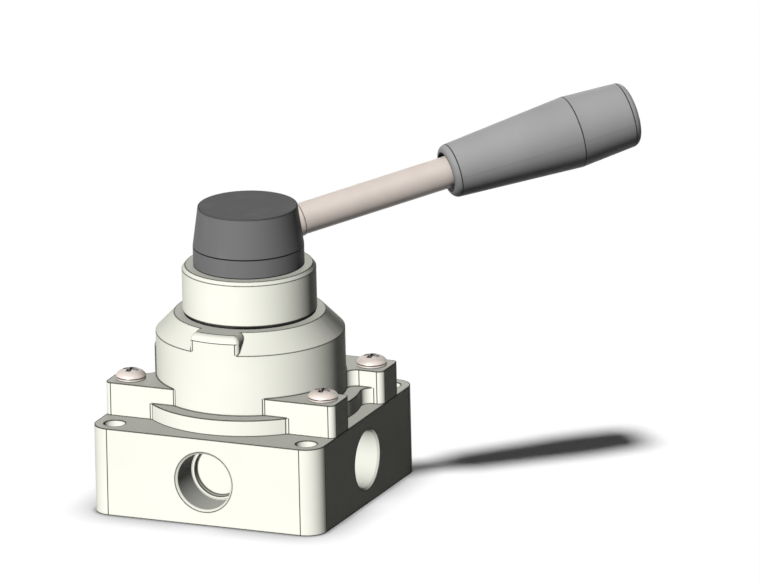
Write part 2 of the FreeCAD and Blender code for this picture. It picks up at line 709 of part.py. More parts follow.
def make_cover_seal():
    seal = seal_ring("cover_seal", cover_seal_radius, S.cover_seal_section)
    level = S.block_height - S.cover_seal_section
    seal.setExpression("Placement.Base.z", level.text)
    return seal


def make_cover_screws():
    screw = new_body("cover_screw")
    chord = S.screw_head_height - S.screw_head_rim
    profile = new_sketch(screw, "XZ_Plane", "screw_profile")
    # The dome's centre lies below the head, so that its arc meets the rim.
    dome = (S.screw_head_radius * S.screw_head_radius + chord * chord) / (chord * 2)
    points = [(ZERO, -(S.lug_height + S.screw_grip)), (S.screw_radius, -(S.lug_height + S.screw_grip)),
              (S.screw_radius, ZERO), (S.screw_head_radius, ZERO), (S.screw_head_radius, S.screw_head_rim),
              (ZERO, S.screw_head_height)]
    corners = [Vector(x.value, y.value, 0) for x, y in points]
    for start, end in zip(corners[:4], corners[1:5]):
        profile.addGeometry(Part.LineSegment(start, end), False)
    middle_angle = math.asin(S.screw_head_radius.value / dome.value) / 2
    centre = S.screw_head_height - dome
    middle = Vector(dome.value * math.sin(middle_angle), centre.value + dome.value * math.cos(middle_angle), 0)
    profile.addGeometry(Part.Arc(corners[4], middle, corners[5]), False)
    profile.addGeometry(Part.LineSegment(corners[5], corners[0]), False)
    for edge in (0, 1, 2, 3):
        fix_point(profile, edge, 1, *points[edge])
    for edge in (0, 1, 2):
        profile.addConstraint(Sketcher.Constraint("Coincident", edge, 2, edge + 1, 1))
    arc_end = 1 if profile.Geometry[4].StartPoint.isEqual(corners[5], 1e-6) else 2
    profile.addConstraint(Sketcher.Constraint("Coincident", 3, 2, 4, 3 - arc_end))
    profile.addConstraint(Sketcher.Constraint("Coincident", 4, arc_end, 5, 1))
    profile.addConstraint(Sketcher.Constraint("Coincident", 5, 2, 0, 1))
    fix_point(profile, 3, 2, *points[4])
    fix_point(profile, 5, 1, *points[5])
    profile.addConstraint(Sketcher.Constraint("PointOnObject", 4, 3, -2))
    spin(screw, "PartDesign::Revolution", profile, "screw_turned")
    cross = new_sketch(screw, "XY_Plane", "cross_plan", S.screw_head_height)
    half, reach = S.screw_cross_width / 2, S.screw_cross_reach
    outline(cross, [
        (-reach, -half), (-half, -half), (-half, -reach), (half, -reach), (half, -half), (reach, -half),
        (reach, half), (half, half), (half, reach), (-half, reach), (-half, half), (-reach, half)])
    pocket(screw, cross, "cross_recess", S.screw_cross_depth)
    places = [at(screw_x * side, screw_y * end, lug_top) for side, end in COVER_SCREWS]
    return group("cover_screws", screw, places)


def make_bush():
    return ring_body("stem_bush", bush_bore, bush_radius, bush_floor, neck_top)


def make_thrust_washer():
    inner = S.stem_radius + S.washer_bore_gap
    return ring_body("thrust_washer", inner, flange_radius, washer_floor, roof)


def make_detent_plate():
    body = ring_body("detent_plate", plate_inner, plate_outer, plate_floor, cone_top)
    for ball, base in enumerate(BALL_BEARINGS):
        for step in (-1, 0, 1):
            before = volume_of(body)
            bearing = S.lever_bearing + S.turn_each_way * step + base
            dimple = body.newObject("PartDesign::SubtractiveSphere", f"dimple_{ball}_{step + 1}")
            dimple.Placement = on_circle(detent_radius, bearing, ball_centre)
            dimple.setExpression("Radius", pocket_radius.text)
            if not volume_of(body) < before:
                raise ValueError("a dimple cuts nothing")
    drill(body, "plate_stop_hole", on_circle(detent_radius, stop_bearing, plate_floor),
          S.stop_pin_radius + S.running_gap, S.detent_plate_thickness)
    for index, bearing in enumerate(PLATE_SCREW_BEARINGS):
        place = on_circle(detent_radius, S.lever_bearing + bearing, plate_floor)
        drill(body, f"plate_hole_{index}", place, S.plate_screw_radius + S.running_gap, S.detent_plate_thickness)
        sink = body.newObject("PartDesign::SubtractiveCone", f"plate_sink_{index}")
        sink.Placement = on_circle(detent_radius, S.lever_bearing + bearing, cone_top - screw_sink_depth())
        sink.setExpression("Radius1", (S.plate_screw_radius + S.running_gap).text)
        sink.setExpression("Radius2", (S.plate_screw_head + S.running_gap).text)
        sink.setExpression("Height", screw_sink_depth().text)
        DOC.recompute()
    return body


def screw_sink_depth():
    # The countersink's sides stand at 45 degrees.
    return S.plate_screw_head - S.plate_screw_radius


def make_plate_screws():
    screw = new_body("plate_screw")
    revolve(screw, "plate_screw_turned", [
        (ZERO, -S.plate_screw_length), (S.plate_screw_radius, -S.plate_screw_length),
        (S.plate_screw_radius, -screw_sink_depth()), (S.plate_screw_head, ZERO), (ZERO, ZERO)])
    slot = new_sketch(screw, "XY_Plane", "plate_screw_slot")
    half = S.plate_slot_width / 2
    rectangle(slot, -S.plate_screw_head, -half, S.plate_screw_head, half)
    pocket(screw, slot, "screw_slot", S.plate_slot_depth)
    places = [on_circle(detent_radius, S.lever_bearing + b, cone_top) for b in PLATE_SCREW_BEARINGS]
    return group("detent_plate_screws", screw, places)


def make_stop_pin():
    pin = DOC.addObject("Part::Cylinder", "stop_pin")
    pin.Label = "stop_pin"
    pin.setExpression("Radius", S.stop_pin_radius.text)
    pin.setExpression("Height", S.stop_pin_length.text)
    pin.Placement = on_circle(detent_radius, stop_bearing, stop_pin_floor)
    return pin


def make_rotary_disc():
    body = new_body("rotary_disc")
    plan = new_sketch(body, "XY_Plane", "disc_plan", disc_floor)
    circle(plan, 0, 0, disc_radius)
    pad(body, plan, "disc", S.disc_thickness)
    # Two kidney ports, each long enough to join two passages when the lever is thrown.
    kidney = groove(body, "kidney", [
        (kidney_inner, disc_floor), (kidney_outer, disc_floor),
        (kidney_outer, disc_floor + S.kidney_depth), (kidney_inner, disc_floor + S.kidney_depth)],
        S.turn_each_way * 2)
    ends = [drill(body, f"kidney_end_{index}",
                  on_circle(S.passage_pitch_radius, S.turn_each_way * side, disc_floor),
                  S.passage_radius, S.kidney_depth) for index, side in enumerate((-1, 1))]
    polar(body, "kidneys", [kidney] + ends, 2)
    slot = new_sketch(body, "XY_Plane", "tongue_slot_plan", disc_top)
    reach = S.stem_radius + S.seat_gap
    half = S.tongue_width / 2 + S.seat_gap
    rectangle(slot, -reach, -half, reach, half)
    pocket(body, slot, "tongue_slot", S.tongue_depth + S.seat_gap)
    return body


def make_spring_washers():
    # Cones stacked rim to rim and bore to bore, which press the disc on its seat.
    washer = new_body("spring_washer")
    inner = S.stem_radius + S.washer_bore_gap
    outer = inner + S.spring_width
    height = S.spring_room / SPRING_WASHERS
    revolve(washer, "washer_cone", [
        (inner, height - S.spring_thickness), (outer, ZERO), (outer, S.spring_thickness), (inner, height)])
    flip = Rotation(Vector(1, 0, 0), FULL_TURN / 2)
    places = []
    for pair in range(SPRING_WASHERS // 2):
        places.append(at(0, 0, disc_top + height * 2 * pair))
        places.append(at(0, 0, disc_top + height * 2 * (pair + 1), flip))
    return group("spring_washers", washer, places)


def seal_levels():
    # Two seals share the plain bore between the roof and the bush.
    middle = roof + S.seal_bore_length / 2
    apart = S.stem_seal_section + S.stem_seal_land / 2
    return middle - apart, middle + apart


def make_stem():
    body = new_body("stem")
    section = S.stem_seal_section
    groove_radius = S.stem_radius - section * 2 + S.running_gap
    points = [(ZERO, disc_top), (S.stem_radius, disc_top), (S.stem_radius, flange_floor),
              (flange_radius, flange_floor), (flange_radius, flange_top),
              (S.stem_radius, flange_top)]
    for level in seal_levels():
        low, high = level - section - S.running_gap, level + section + S.running_gap
        points += [(S.stem_radius, low), (groove_radius, low), (groove_radius, high), (S.stem_radius, high)]
    points += [(S.stem_radius, web_floor), (ZERO, web_floor)]
    revolve(body, "stem_turned", points)
    tongue = new_sketch(body, "XY_Plane", "tongue_plan", disc_top - S.tongue_depth)
    half = S.tongue_width / 2
    reach = S.stem_radius - S.running_gap
    rectangle(tongue, -reach, -half, reach, half)
    pad(body, tongue, "tongue", S.tongue_depth)
    square = new_sketch(body, "XY_Plane", "square_plan", web_floor)
    flat = S.stem_square / 2
    rectangle(square, -flat, -flat, flat, flat)
    pad(body, square, "square", S.hub_web - S.square_drop)
    tapping = new_sketch(body, "XY_Plane", "tapping_plan", web_top - S.square_drop)
    circle(tapping, 0, 0, S.hub_screw_radius)
    pocket(body, tapping, "tapping", S.hub_screw_length)
    round_edges(body, "square_edges", S.square_chamfer,
                lambda edge: is_upright(edge) and edge.CenterOfMass.z > web_floor.value
                and near(abs(edge.CenterOfMass.x), flat), "PartDesign::Chamfer")
    return body


def make_stem_seals():
    section = S.stem_seal_section
    ring = S.stem_radius - section + S.running_gap
    seal = seal_ring("stem_seal", ring, section)
    return group("stem_seals", seal, [at(0, 0, level) for level in seal_levels()])


def lever_place(distance):
    # A placement on the lever axis with its +Z along the lever, in the hub's own frame.
    tilt = math.radians(S.lever_tilt.value)
    run = distance.value * math.cos(tilt)
    rise = lever_level.value + distance.value * math.sin(tilt)
    return Placement(Vector(run, 0, rise), Rotation(Vector(0, 1, 0), 90 - S.lever_tilt.value))


def make_hub():
    body = new_body("hub")
    shoulder = neck_radius + S.neck_room
    spigot = cap_inner - S.seat_gap
    spigot_top = collar_top + S.hub_spigot_height
    revolve(body, "hub_turned", [
        (shoulder, collar_floor), (collar_radius, collar_floor),
        (collar_radius, collar_top - S.collar_chamfer_height),
        (collar_radius - S.collar_chamfer_width, collar_top), (spigot, collar_top), (spigot, spigot_top),
        (boss_radius, spigot_top), (boss_radius, hub_top), (hub_bore_radius, hub_top),
        (hub_bore_radius, web_top), (S.hub_screw_radius, web_top), (S.hub_screw_radius, web_floor),
        (shoulder, web_floor)])
    # The square on the stem stays in line with the block, so its hole is turned back here.
    flat = S.stem_square / 2 + S.running_gap
    turned_back = Placement(Vector(), Rotation(Vector(0, 0, 1), -S.lever_bearing.value))
    before = volume_of(body)
    square = body.newObject("PartDesign::SubtractiveBox", "hub_square")
    square.Placement = turned_back.multiply(at(-flat, -flat, web_floor))
    square.setExpression("Length", (flat * 2).text)
    square.setExpression("Width", (flat * 2).text)
    square.setExpression("Height", S.hub_web.text)
    if not volume_of(body) < before:
        raise ValueError("the hub's square hole cuts nothing")

    # The arc slot that the stop pin stands in, opposite the lever.
    slot_top = cone_top + S.stop_pin_rise + S.stop_slot_room
    slot_turn = S.turn_each_way + S.stop_slack
    groove(body, "stop_slot", [
        (-detent_radius - stop_slot_radius, collar_floor), (stop_slot_radius - detent_radius, collar_floor),
        (stop_slot_radius - detent_radius, slot_top), (-detent_radius - stop_slot_radius, slot_top)],
        slot_turn * 2)
    for index, side in enumerate((-1, 1)):
        place = on_circle(detent_radius, slot_turn * side + STOP_BEARING, collar_floor)
        drill(body, f"stop_slot_end_{index}", place, stop_slot_radius, slot_top - collar_floor)
    for index, bearing in enumerate(BALL_BEARINGS):
        place = on_circle(detent_radius, bearing, collar_floor)
        drill(body, f"detent_pocket_{index}", place, pocket_radius, pocket_top - collar_floor)
    drill(body, "lever_tapping", lever_place(ZERO), S.rod_thread_radius, rod_collar_end)
    drill(body, "lever_spot_face", lever_place(rod_collar_start), rod_collar_radius + S.running_gap,
          rod_collar_end - rod_collar_start)
    body.Placement = about_stem(S.lever_bearing)
    return body


def make_hub_washer():
    inner = S.hub_screw_radius + S.seat_gap
    return ring_body("hub_washer", inner, hub_washer_radius, web_top, web_top + S.hub_washer_thickness)


def make_hub_screw():
    body = new_body("hub_screw")
    under_head = web_top + S.hub_washer_thickness
    head_top = under_head + S.hub_screw_radius * 2
    tip = under_head - S.hub_screw_length
    revolve(body, "hub_screw_turned", [
        (ZERO, tip), (S.hub_screw_radius, tip), (S.hub_screw_radius, under_head),
        (S.hub_screw_head_radius, under_head), (S.hub_screw_head_radius, head_top), (ZERO, head_top)])
    socket = new_sketch(body, "XY_Plane", "socket_plan", head_top)
    corner = S.hub_screw_socket / math.cos(math.pi / HEXAGON)
    angles = [2 * math.pi * i / HEXAGON for i in range(HEXAGON)]
    outline(socket, [(corner * round(math.cos(a), 9), corner * round(math.sin(a), 9)) for a in angles])
    pocket(body, socket, "socket", S.hub_screw_socket_depth)
    return body


def make_detent_balls():
    ball = DOC.addObject("Part::Sphere", "detent_ball")
    ball.setExpression("Radius", S.ball_radius.text)
    places = [on_circle(detent_radius, S.lever_bearing + b, ball_centre) for b in BALL_BEARINGS]
    return group("detent_balls", ball, places)


def make_detent_springs():
    low = ball_centre + S.ball_radius
    mean_radius = pocket_radius - S.detent_spring_gap - S.detent_spring_wire
    spring = coil("detent_spring", mean_radius, S.detent_spring_wire, pocket_top - low, S.detent_spring_turns, low)
    places = [on_circle(detent_radius, S.lever_bearing + b, ZERO) for b in BALL_BEARINGS]
    return group("detent_springs", spring, places)


def make_cap():
    body = new_body("hub_cap")
    band_top = collar_top + S.cap_band
    inner_top = cap_top_radius - S.cap_wall
    revolve(body, "cap_shell", [
        (cap_inner, collar_top), (cap_radius, collar_top), (cap_radius, band_top),
        (cap_top_radius, cap_top), (ZERO, cap_top), (ZERO, cap_ceiling), (inner_top, cap_ceiling),
        (cap_inner, band_top)])
    round_edges(body, "cap_edge", S.cap_edge, lambda edge: is_ring(edge, cap_top_radius, cap_top))
    drill(body, "rod_hole", lever_place(rod_collar_start), rod_collar_radius + S.seat_gap,
          cap_radius)
    body.Placement = about_stem(S.lever_bearing)
    return body


def lever_body(label):
    body = new_body(label)
    body.Placement = about_stem(S.lever_bearing).multiply(lever_place(ZERO))
    return body


def make_rod():
    body = lever_body("lever_rod")
    chamfer = S.rod_chamfer
    revolve(body, "rod_turned", [
        (ZERO, rod_start), (S.rod_thread_radius - chamfer, rod_start),
        (S.rod_thread_radius, rod_start + chamfer), (S.rod_thread_radius, rod_collar_start),
        (rod_collar_radius, rod_collar_start), (rod_collar_radius, rod_collar_end),
        (S.rod_radius, rod_collar_end), (S.rod_radius, rod_end - chamfer),
        (S.rod_radius - chamfer, rod_end), (ZERO, rod_end)])
    return body


def make_grip():
    body = lever_body("lever_grip")
    bore_end = rod_end + S.grip_end_room
    revolve(body, "grip_turned", [
        (grip_mouth_radius, S.grip_start), (grip_front_radius, S.grip_start),
        (grip_crest_radius, grip_crest), (grip_back_radius, grip_end), (ZERO, grip_end),
        (ZERO, bore_end), (S.rod_radius, bore_end), (S.rod_radius, S.grip_start + S.grip_mouth_depth),
        (grip_mouth_radius, S.grip_start + S.grip_mouth_depth)])
    return body


def round_grip(body):
    round_edges(body, "grip_front", S.grip_front_round,
                lambda edge: local_ring(edge, grip_front_radius, S.grip_start))
    round_edges(body, "grip_back", S.grip_back_round,
                lambda edge: local_ring(edge, grip_back_radius, grip_end))


def local_ring(edge, radius, distance):
    # A whole circle about the lever axis, at a distance along it.
    curve = edge.Curve
    if not isinstance(curve, Part.Circle):
        return False
    return near(curve.Radius, radius) and near(curve.Center.z, distance)


def main():
    grip = make_grip()
    round_grip(grip)
    nodes = [
        make_valve_block(), make_seat_plate(), make_port_seals(), make_seat_pins(), make_cover(),
        make_cover_seal(), make_cover_screws(), make_bush(), make_thrust_washer(), make_detent_plate(),
        make_plate_screws(), make_stop_pin(), make_rotary_disc(), make_spring_washers(), make_stem(),
        make_stem_seals(), make_hub(), make_hub_washer(), make_hub_screw(), make_detent_balls(),
        make_detent_springs(), make_cap(), make_rod(), grip]
    DOC.recompute()
    for item in DOC.Objects:
        if "Invalid" in item.State or "Error" in item.State:
            raise ValueError(f"{item.Label} failed: {item.State}")
    for node in nodes:
        if node.Shape.isNull() or not node.Shape.isValid():
            raise ValueError(f"{node.Label} has no valid shape")
    os.makedirs("parts", exist_ok=True)
    for node in nodes:
        node.Shape.exportStep(f"parts/{node.Label}.step")
        solids = len(node.Shape.Solids)
        print(f"{node.Label}: {solids} solid(s), {node.Shape.Volume:.0f} mm3")


main()
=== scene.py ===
import json
import math

import bpy
from mathutils import Matrix, Vector


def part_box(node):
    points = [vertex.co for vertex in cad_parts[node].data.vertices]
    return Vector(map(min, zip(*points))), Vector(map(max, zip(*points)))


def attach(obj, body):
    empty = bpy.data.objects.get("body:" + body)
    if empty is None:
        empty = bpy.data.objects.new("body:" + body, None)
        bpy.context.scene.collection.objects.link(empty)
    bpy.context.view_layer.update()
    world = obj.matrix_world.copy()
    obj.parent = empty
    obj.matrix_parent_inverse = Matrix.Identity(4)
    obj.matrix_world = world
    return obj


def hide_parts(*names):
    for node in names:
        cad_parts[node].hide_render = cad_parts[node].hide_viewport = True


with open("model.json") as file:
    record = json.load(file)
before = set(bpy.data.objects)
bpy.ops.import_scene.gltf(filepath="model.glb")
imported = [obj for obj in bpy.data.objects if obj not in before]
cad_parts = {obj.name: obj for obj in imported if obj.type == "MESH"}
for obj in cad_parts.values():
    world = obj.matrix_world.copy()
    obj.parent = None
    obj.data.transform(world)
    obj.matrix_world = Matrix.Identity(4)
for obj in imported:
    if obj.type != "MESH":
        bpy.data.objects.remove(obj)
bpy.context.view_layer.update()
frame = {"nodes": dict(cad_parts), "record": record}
print("frame loaded with", len(frame["nodes"]), "nodes")

origin = (0, 0, 0)
xAxis, yAxis, zAxis = (1, 0, 0), (0, 1, 0), (0, 0, 1)
mmPerMetre = 1000
noiseMean = 0.5


class Signal:
    # A shader socket that can be used in sums.
    def __init__(self, paint, socket):
        self.paint = paint
        self.socket = socket

    def maths(self, operation, *terms):
        return self.paint.node("ShaderNodeMath", {"operation": operation}, dict(enumerate(terms)))

    def __add__(self, other):
        return self.maths("ADD", self, other)

    def __radd__(self, other):
        return self.maths("ADD", other, self)

    def __sub__(self, other):
        return self.maths("SUBTRACT", self, other)

    def __rsub__(self, other):
        return self.maths("SUBTRACT", other, self)

    def __mul__(self, other):
        return self.maths("MULTIPLY", self, other)

    def __rmul__(self, other):
        return self.maths("MULTIPLY", other, self)

    def __abs__(self):
        return self.maths("ABSOLUTE", self)

    def __lt__(self, other):
        return self.maths("LESS_THAN", self, other)

    def __gt__(self, other):
        return self.maths("GREATER_THAN", self, other)


class Paint:
    # The node tree of one finish, of the world or of the floor.
    def __init__(self, tree):
        self.tree = tree
        tree.nodes.clear()

    def node(self, kind, settings=None, inputs=None, output=0):
        made = self.tree.nodes.new(kind)
        for name, value in (settings or {}).items():
            if name == "stops":
                for element, (position, shade) in zip(made.color_ramp.elements, value):
                    element.position = position
                    element.color = (shade, shade, shade, 1)
            else:
                setattr(made, name, value)
        for key, value in (inputs or {}).items():
            if isinstance(value, Signal):
                self.tree.links.new(value.socket, made.inputs[key])
            else:
                made.inputs[key].default_value = value
        return Signal(self, made.outputs[output]) if made.outputs else None

    def vector(self, operation, first, second=None, output="Vector"):
        inputs = {0: first} if second is None else {0: first, 1: second}
        return self.node("ShaderNodeVectorMath", {"operation": operation}, inputs, output)

    def larger(self, first, second):
        return self.node("ShaderNodeMath", {"operation": "MAXIMUM"}, {0: first, 1: second})

    def ray(self, kind):
        # 1 for light rays of one kind, such as Camera or Glossy.
        return self.node("ShaderNodeLightPath", output=f"Is {kind} Ray")

    def spot(self):
        # Where a point lies in the part's own frame, in metres.
        return self.node("ShaderNodeTexCoord", output="Object")

    def along(self, direction, start=origin):
        # Distance from a start point along a direction.
        return self.vector("DOT_PRODUCT", self.vector("SUBTRACT", self.spot(), start), direction, "Value")

    def fromAxis(self, axis=zAxis, start=origin):
        # Distance from the line that runs through a start point along an axis.
        offset = self.vector("SUBTRACT", self.spot(), start)
        return self.vector("LENGTH", self.vector("CROSS_PRODUCT", offset, axis), output="Value")

    def noise(self, scale, detail, stretch=None):
        where = self.vector("MULTIPLY", self.spot(), stretch) if stretch else self.spot()
        return self.node("ShaderNodeTexNoise", None, {"Vector": where, "Scale": scale, "Detail": detail})

    def rings(self, along, scale, detail=2):
        # Fine turning marks, which vary along one direction only.
        return self.node("ShaderNodeTexNoise", {"noise_dimensions": "1D"},
                         {"W": along, "Scale": scale, "Detail": detail})

    def ramp(self, value, low, high):
        # 0 below the low value, 1 above the high one.
        return self.node("ShaderNodeValToRGB", {"stops": [(low, 0), (high, 1)]}, {"Fac": value})

    def mix(self, share, plain, other):
        return self.node("ShaderNodeMix", {"data_type": "RGBA"}, {0: share, 6: plain, 7: other}, 2)

    def rounded(self, radius, samples=6):
        return self.node("ShaderNodeBevel", {"samples": samples}, {"Radius": radius})

    def edges(self, reach, low=0.004, high=0.012, samples=16):
        # 1 along a sharp edge, 0 on open faces.
        face = self.node("ShaderNodeNewGeometry", output="Normal")
        bend = 1 - self.vector("DOT_PRODUCT", self.rounded(reach, samples), face, "Value")
        return self.ramp(bend, low, high)

    def uprights(self, places, width):
        # 1 along fine upright lines in all four quarters, each given as its x, y, lowest and highest point.
        x, y, z = abs(self.along(xAxis)), abs(self.along(yAxis)), self.along(zAxis)
        lines = 0
        for placeX, placeY, low, high in places:
            away = (x - placeX) * (x - placeX) + (y - placeY) * (y - placeY)
            lines = (away < width * width) * (z > low) * (z < high) + lines
        return lines

    def hidden(self, reach, samples=6, onlyLocal=True):
        # Up to 1 where other faces stand close by, 0 in the open.
        return 1 - self.node("ShaderNodeAmbientOcclusion", {"samples": samples, "only_local": onlyLocal},
                             {"Distance": reach}, "AO")

    def bump(self, height, depth, normal=None):
        sockets = {"Height": height, "Distance": depth}
        if normal:
            sockets["Normal"] = normal
        return self.node("ShaderNodeBump", None, sockets)

    def finish(self, sockets):
        shader = self.node("ShaderNodeBsdfPrincipled", None, sockets)
        self.node("ShaderNodeOutputMaterial", None, {"Surface": shader})


def newPaint(name):
    material = bpy.data.materials.new(name)
    material.use_nodes = True
    return material, Paint(material.node_tree)


def tint(colour, factor=1.0):
    return tuple(min(1.0, part * factor) for part in colour) + (1,)


# Where the photograph was taken from, and how large the part is in it.
cameraLook = {
    "azimuth": 23.981, "elevation": 17.354, "roll": -1.374,  # degrees
    "pixelsPerMm": 3.1198, "photoWidth": 760,
    "aimRight": 0.040292, "aimUp": 0.063105,  # from the part's origin, in metres
    "standOff": 0.8, "farthest": 20,
}


def makeCamera():
    a, e = math.radians(cameraLook["azimuth"]), math.radians(cameraLook["elevation"])
    back = Vector((math.sin(a) * math.cos(e), -math.cos(a) * math.cos(e), math.sin(e)))
    level = Vector((math.cos(a), math.sin(a), 0))
    up = back.cross(level)
    roll = math.radians(cameraLook["roll"])
    right = level * math.cos(roll) + up * math.sin(roll)
    up = up * math.cos(roll) - level * math.sin(roll)
    lens = bpy.data.cameras.new("photoView")
    lens.type = "ORTHO"
    lens.ortho_scale = cameraLook["photoWidth"] / cameraLook["pixelsPerMm"] / mmPerMetre
    lens.clip_end = cameraLook["farthest"]
    camera = bpy.data.objects.new("photoView", lens)
    bpy.context.scene.collection.objects.link(camera)
    place = right * cameraLook["aimRight"] + up * cameraLook["aimUp"] + back * cameraLook["standOff"]
    turn = Matrix((right, up, back)).transposed().to_4x4()
    camera.matrix_world = Matrix.Translation(place) @ turn
    bpy.context.scene.camera = camera


makeCamera()
print("camera set")


# Each lamp: where from as azimuth and elevation, W/m2, degrees across, whether it casts shadows, what it
# leaves out and, where it lights only a few things, what those are.
lightLook = {
    "lamps": {
        "keyLamp": ((-2, 19), 3.9, 4, False, ("floor", "lever_rod", "lever_grip"), None),
        "leverLamp": ((4, 47), 3.0, 9, False, None, ("lever_rod", "lever_grip")),
        "backLamp": ((200, 6), 1.7, 24, True, ("floor",), None),
        "topLamp": ((0, 90), 3.2, 8, True, None, ("floor",)),
        "tableLamp": ((0, 60), 0.045, 8, False, None, ("floor",)),
    },
    "ambient": 0.042,
}


def makeLamp(name, direction, strength, width, shadows, leftOut, lit):
    lamp = bpy.data.lights.new(name, "SUN")
    lamp.energy = strength
    lamp.angle = math.radians(width)
    lamp.use_shadow = shadows
    sun = bpy.data.objects.new(name, lamp)
    bpy.context.scene.collection.objects.link(sun)
    azimuth, elevation = direction
    sun.rotation_euler = (math.radians(90 - elevation), 0, math.radians(azimuth))
    sun.visible_glossy = not shadows  # only a lamp without shadows gives a highlight
    group = bpy.data.collections.new(name + "Receivers")
    for shown in (lit or leftOut):
        group.objects.link(bpy.data.objects[shown] if shown == "floor" else frame["nodes"][shown])
    sun.light_linking.receiver_collection = group
    if leftOut:
        for entry in group.collection_objects:
            entry.light_linking.link_state = "EXCLUDE"


floorLook = {
    "reach": 6.0, "colour": (0.93, 0.93, 0.93), "cloudScale": 6, "cloudDetail": 3, "cloudTone": 1.02,
    "unseenColour": (0.035, 0.035, 0.035), "roughness": 0.9, "wear": 0.05,
    "contactReach": 0.012, "contactSamples": 16, "contactShare": 0.9, "contactColour": (0.0, 0.0, 0.0),
}


def makeFloor():
    # A table that is pale to the camera and in reflections. It is dark to all other light rays, so that it
    # doesn't brighten the part's shaded sides.
    look = floorLook
    reach = look["reach"]
    corners = [(-reach, -reach, 0), (reach, -reach, 0), (reach, reach, 0), (-reach, reach, 0)]
    mesh = bpy.data.meshes.new("floor")
    mesh.from_pydata(corners, [], [(0, 1, 2, 3)])
    floor = bpy.data.objects.new("floor", mesh)
    bpy.context.scene.collection.objects.link(floor)
    material, paint = newPaint("paleTable")
    seen = paint.larger(paint.ray("Camera"), paint.ray("Glossy"))
    cloud = paint.noise(look["cloudScale"], look["cloudDetail"])
    pale = paint.mix(cloud, tint(look["colour"]), tint(look["colour"], look["cloudTone"]))
    # A soft shade where the block stands on the table.
    contact = paint.hidden(look["contactReach"], look["contactSamples"], False)
    pale = paint.mix(contact * look["contactShare"], pale, tint(look["contactColour"]))
    paint.finish({"Base Color": paint.mix(seen, tint(look["unseenColour"]), pale),
                  "Roughness": look["roughness"] - look["wear"] * cloud, "Specular IOR Level": 0.0})
    mesh.materials.append(material)


def makeStudio():
    # White for the camera and in reflections, and a weak fill light for everything else.
    makeFloor()
    for name, settings in lightLook["lamps"].items():
        makeLamp(name, *settings)
    world = bpy.data.worlds.new("studio")
    world.use_nodes = True
    bpy.context.scene.world = world
    paint = Paint(world.node_tree)
    white = paint.ray("Camera") + paint.ray("Glossy") + paint.ray("Transmission")
    strength = paint.larger(white, lightLook["ambient"])
    sky = paint.node("ShaderNodeBackground", None, {"Color": (1, 1, 1, 1), "Strength": strength})
    paint.node("ShaderNodeOutputWorld", None, {"Surface": sky})
    bpy.context.scene.view_settings.view_transform = "Standard"


makeStudio()
print("studio lit")


enamelLook = {
    "colour": (0.85, 0.853, 0.76), "roughness": 0.5, "gloss": 1.08, "edge": 0.0002,
    "patchScale": 38, "patchDetail": 4, "patchRamp": (0.3, 0.7), "patchTone": 0.955,
    "grainScale": 1900, "grainDetail": 3, "grainDepth": 0.000016, "grainRoughness": 0.1,
    "speckScale": 900, "speckDetail": 1, "speckShare": 0.5,
    "lineReach": 0.0007, "lineShare": 0.93, "startWidth": 0.00018, "startShare": 0.95,
    "lineColour": (0.05, 0.05, 0.045),
    "cornerReach": 0.0022, "cornerRamp": (0.35, 0.95), "cornerShare": 0.75, "cornerRoughness": 0.15,
    "cornerColour": (0.36, 0.36, 0.31),
}

# Painted shadow on the cone's top under the collar: near-black, so that the gap below the collar reads as
# shade.
collarShadeLook = {"level": 0.0591, "radius": 0.0213, "colour": (0.012, 0.012, 0.012)}

# The ports, from their mount in the record, and the turning marks in them and over their floors.
portMount = next(mount for mount in frame["record"]["mounts"] if mount["name"] == "port_front")
portLook = {
    "level": portMount["pos_m"][2], "wall": portMount["dims"]["r_mm"] / mmPerMetre, "wallSlack": 0.0002,
    "reach": 0.0102, "wallColour": (0.72, 0.725, 0.65), "markScale": 2600, "markDepth": 0.000012,
}

# The castings' sizes that their fine lines follow, in metres.
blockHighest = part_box("valve_block")[1]
castingLook = {
    "halfWidth": blockHighest.x, "blockTop": blockHighest.z, "blockCorner": 0.0064,
    "lugOuter": 0.0261, "lugInner": 0.013, "lugCorner": 0.002, "lugTop": 0.04,
    "outerFillet": 0.0014, "innerFillet": 0.003,
    "ringRadius": 0.03525, "ringTop": 0.0344, "barrelRadius": 0.0304, "barrelTop": 0.0545, "coneTop": 0.0607,
    "markHalfWidth": 0.0085, "markSideRound": 0.0015, "markTopRound": 0.0024,
    "lineWidth": 0.00015, "topLineWidth": 0.00025, "faceSlack": 0.0002,
}


def roundingStarts(face, fillet, radius, low, high):
    # Upright lines where the fillet between a lug's face and a round wall starts on each of them. A fillet on
    # the lug's inner side is negative.
    centreY = face + fillet
    centreX = math.sqrt((radius + abs(fillet)) ** 2 - centreY ** 2)
    share = radius / (radius + abs(fillet))
    return [(centreX, face, low, high), (centreX * share, centreY * share, low, high)]


def blockLines():
    # Where the block's corners start to round.
    side = castingLook["halfWidth"]
    start = side - castingLook["blockCorner"]
    return [(start, side, 0, castingLook["blockTop"]), (side, start, 0, castingLook["blockTop"])]


def lugLines():
    # Where the lugs' corners and roots start to round.
    look = castingLook
    side, corner = look["halfWidth"], look["lugCorner"]
    low, ringTop, high = look["blockTop"], look["ringTop"], look["lugTop"]
    lines = []
    for face, inward, fillet in ((look["lugOuter"], -1, look["outerFillet"]),
                                 (look["lugInner"], 1, -look["innerFillet"])):
        lines += [(side - corner, face, low, high), (side, face + inward * corner, low, high)]
        lines += roundingStarts(face, fillet, look["barrelRadius"], ringTop, high)
        lines += roundingStarts(face, fillet, look["ringRadius"], low, ringTop)
    return lines


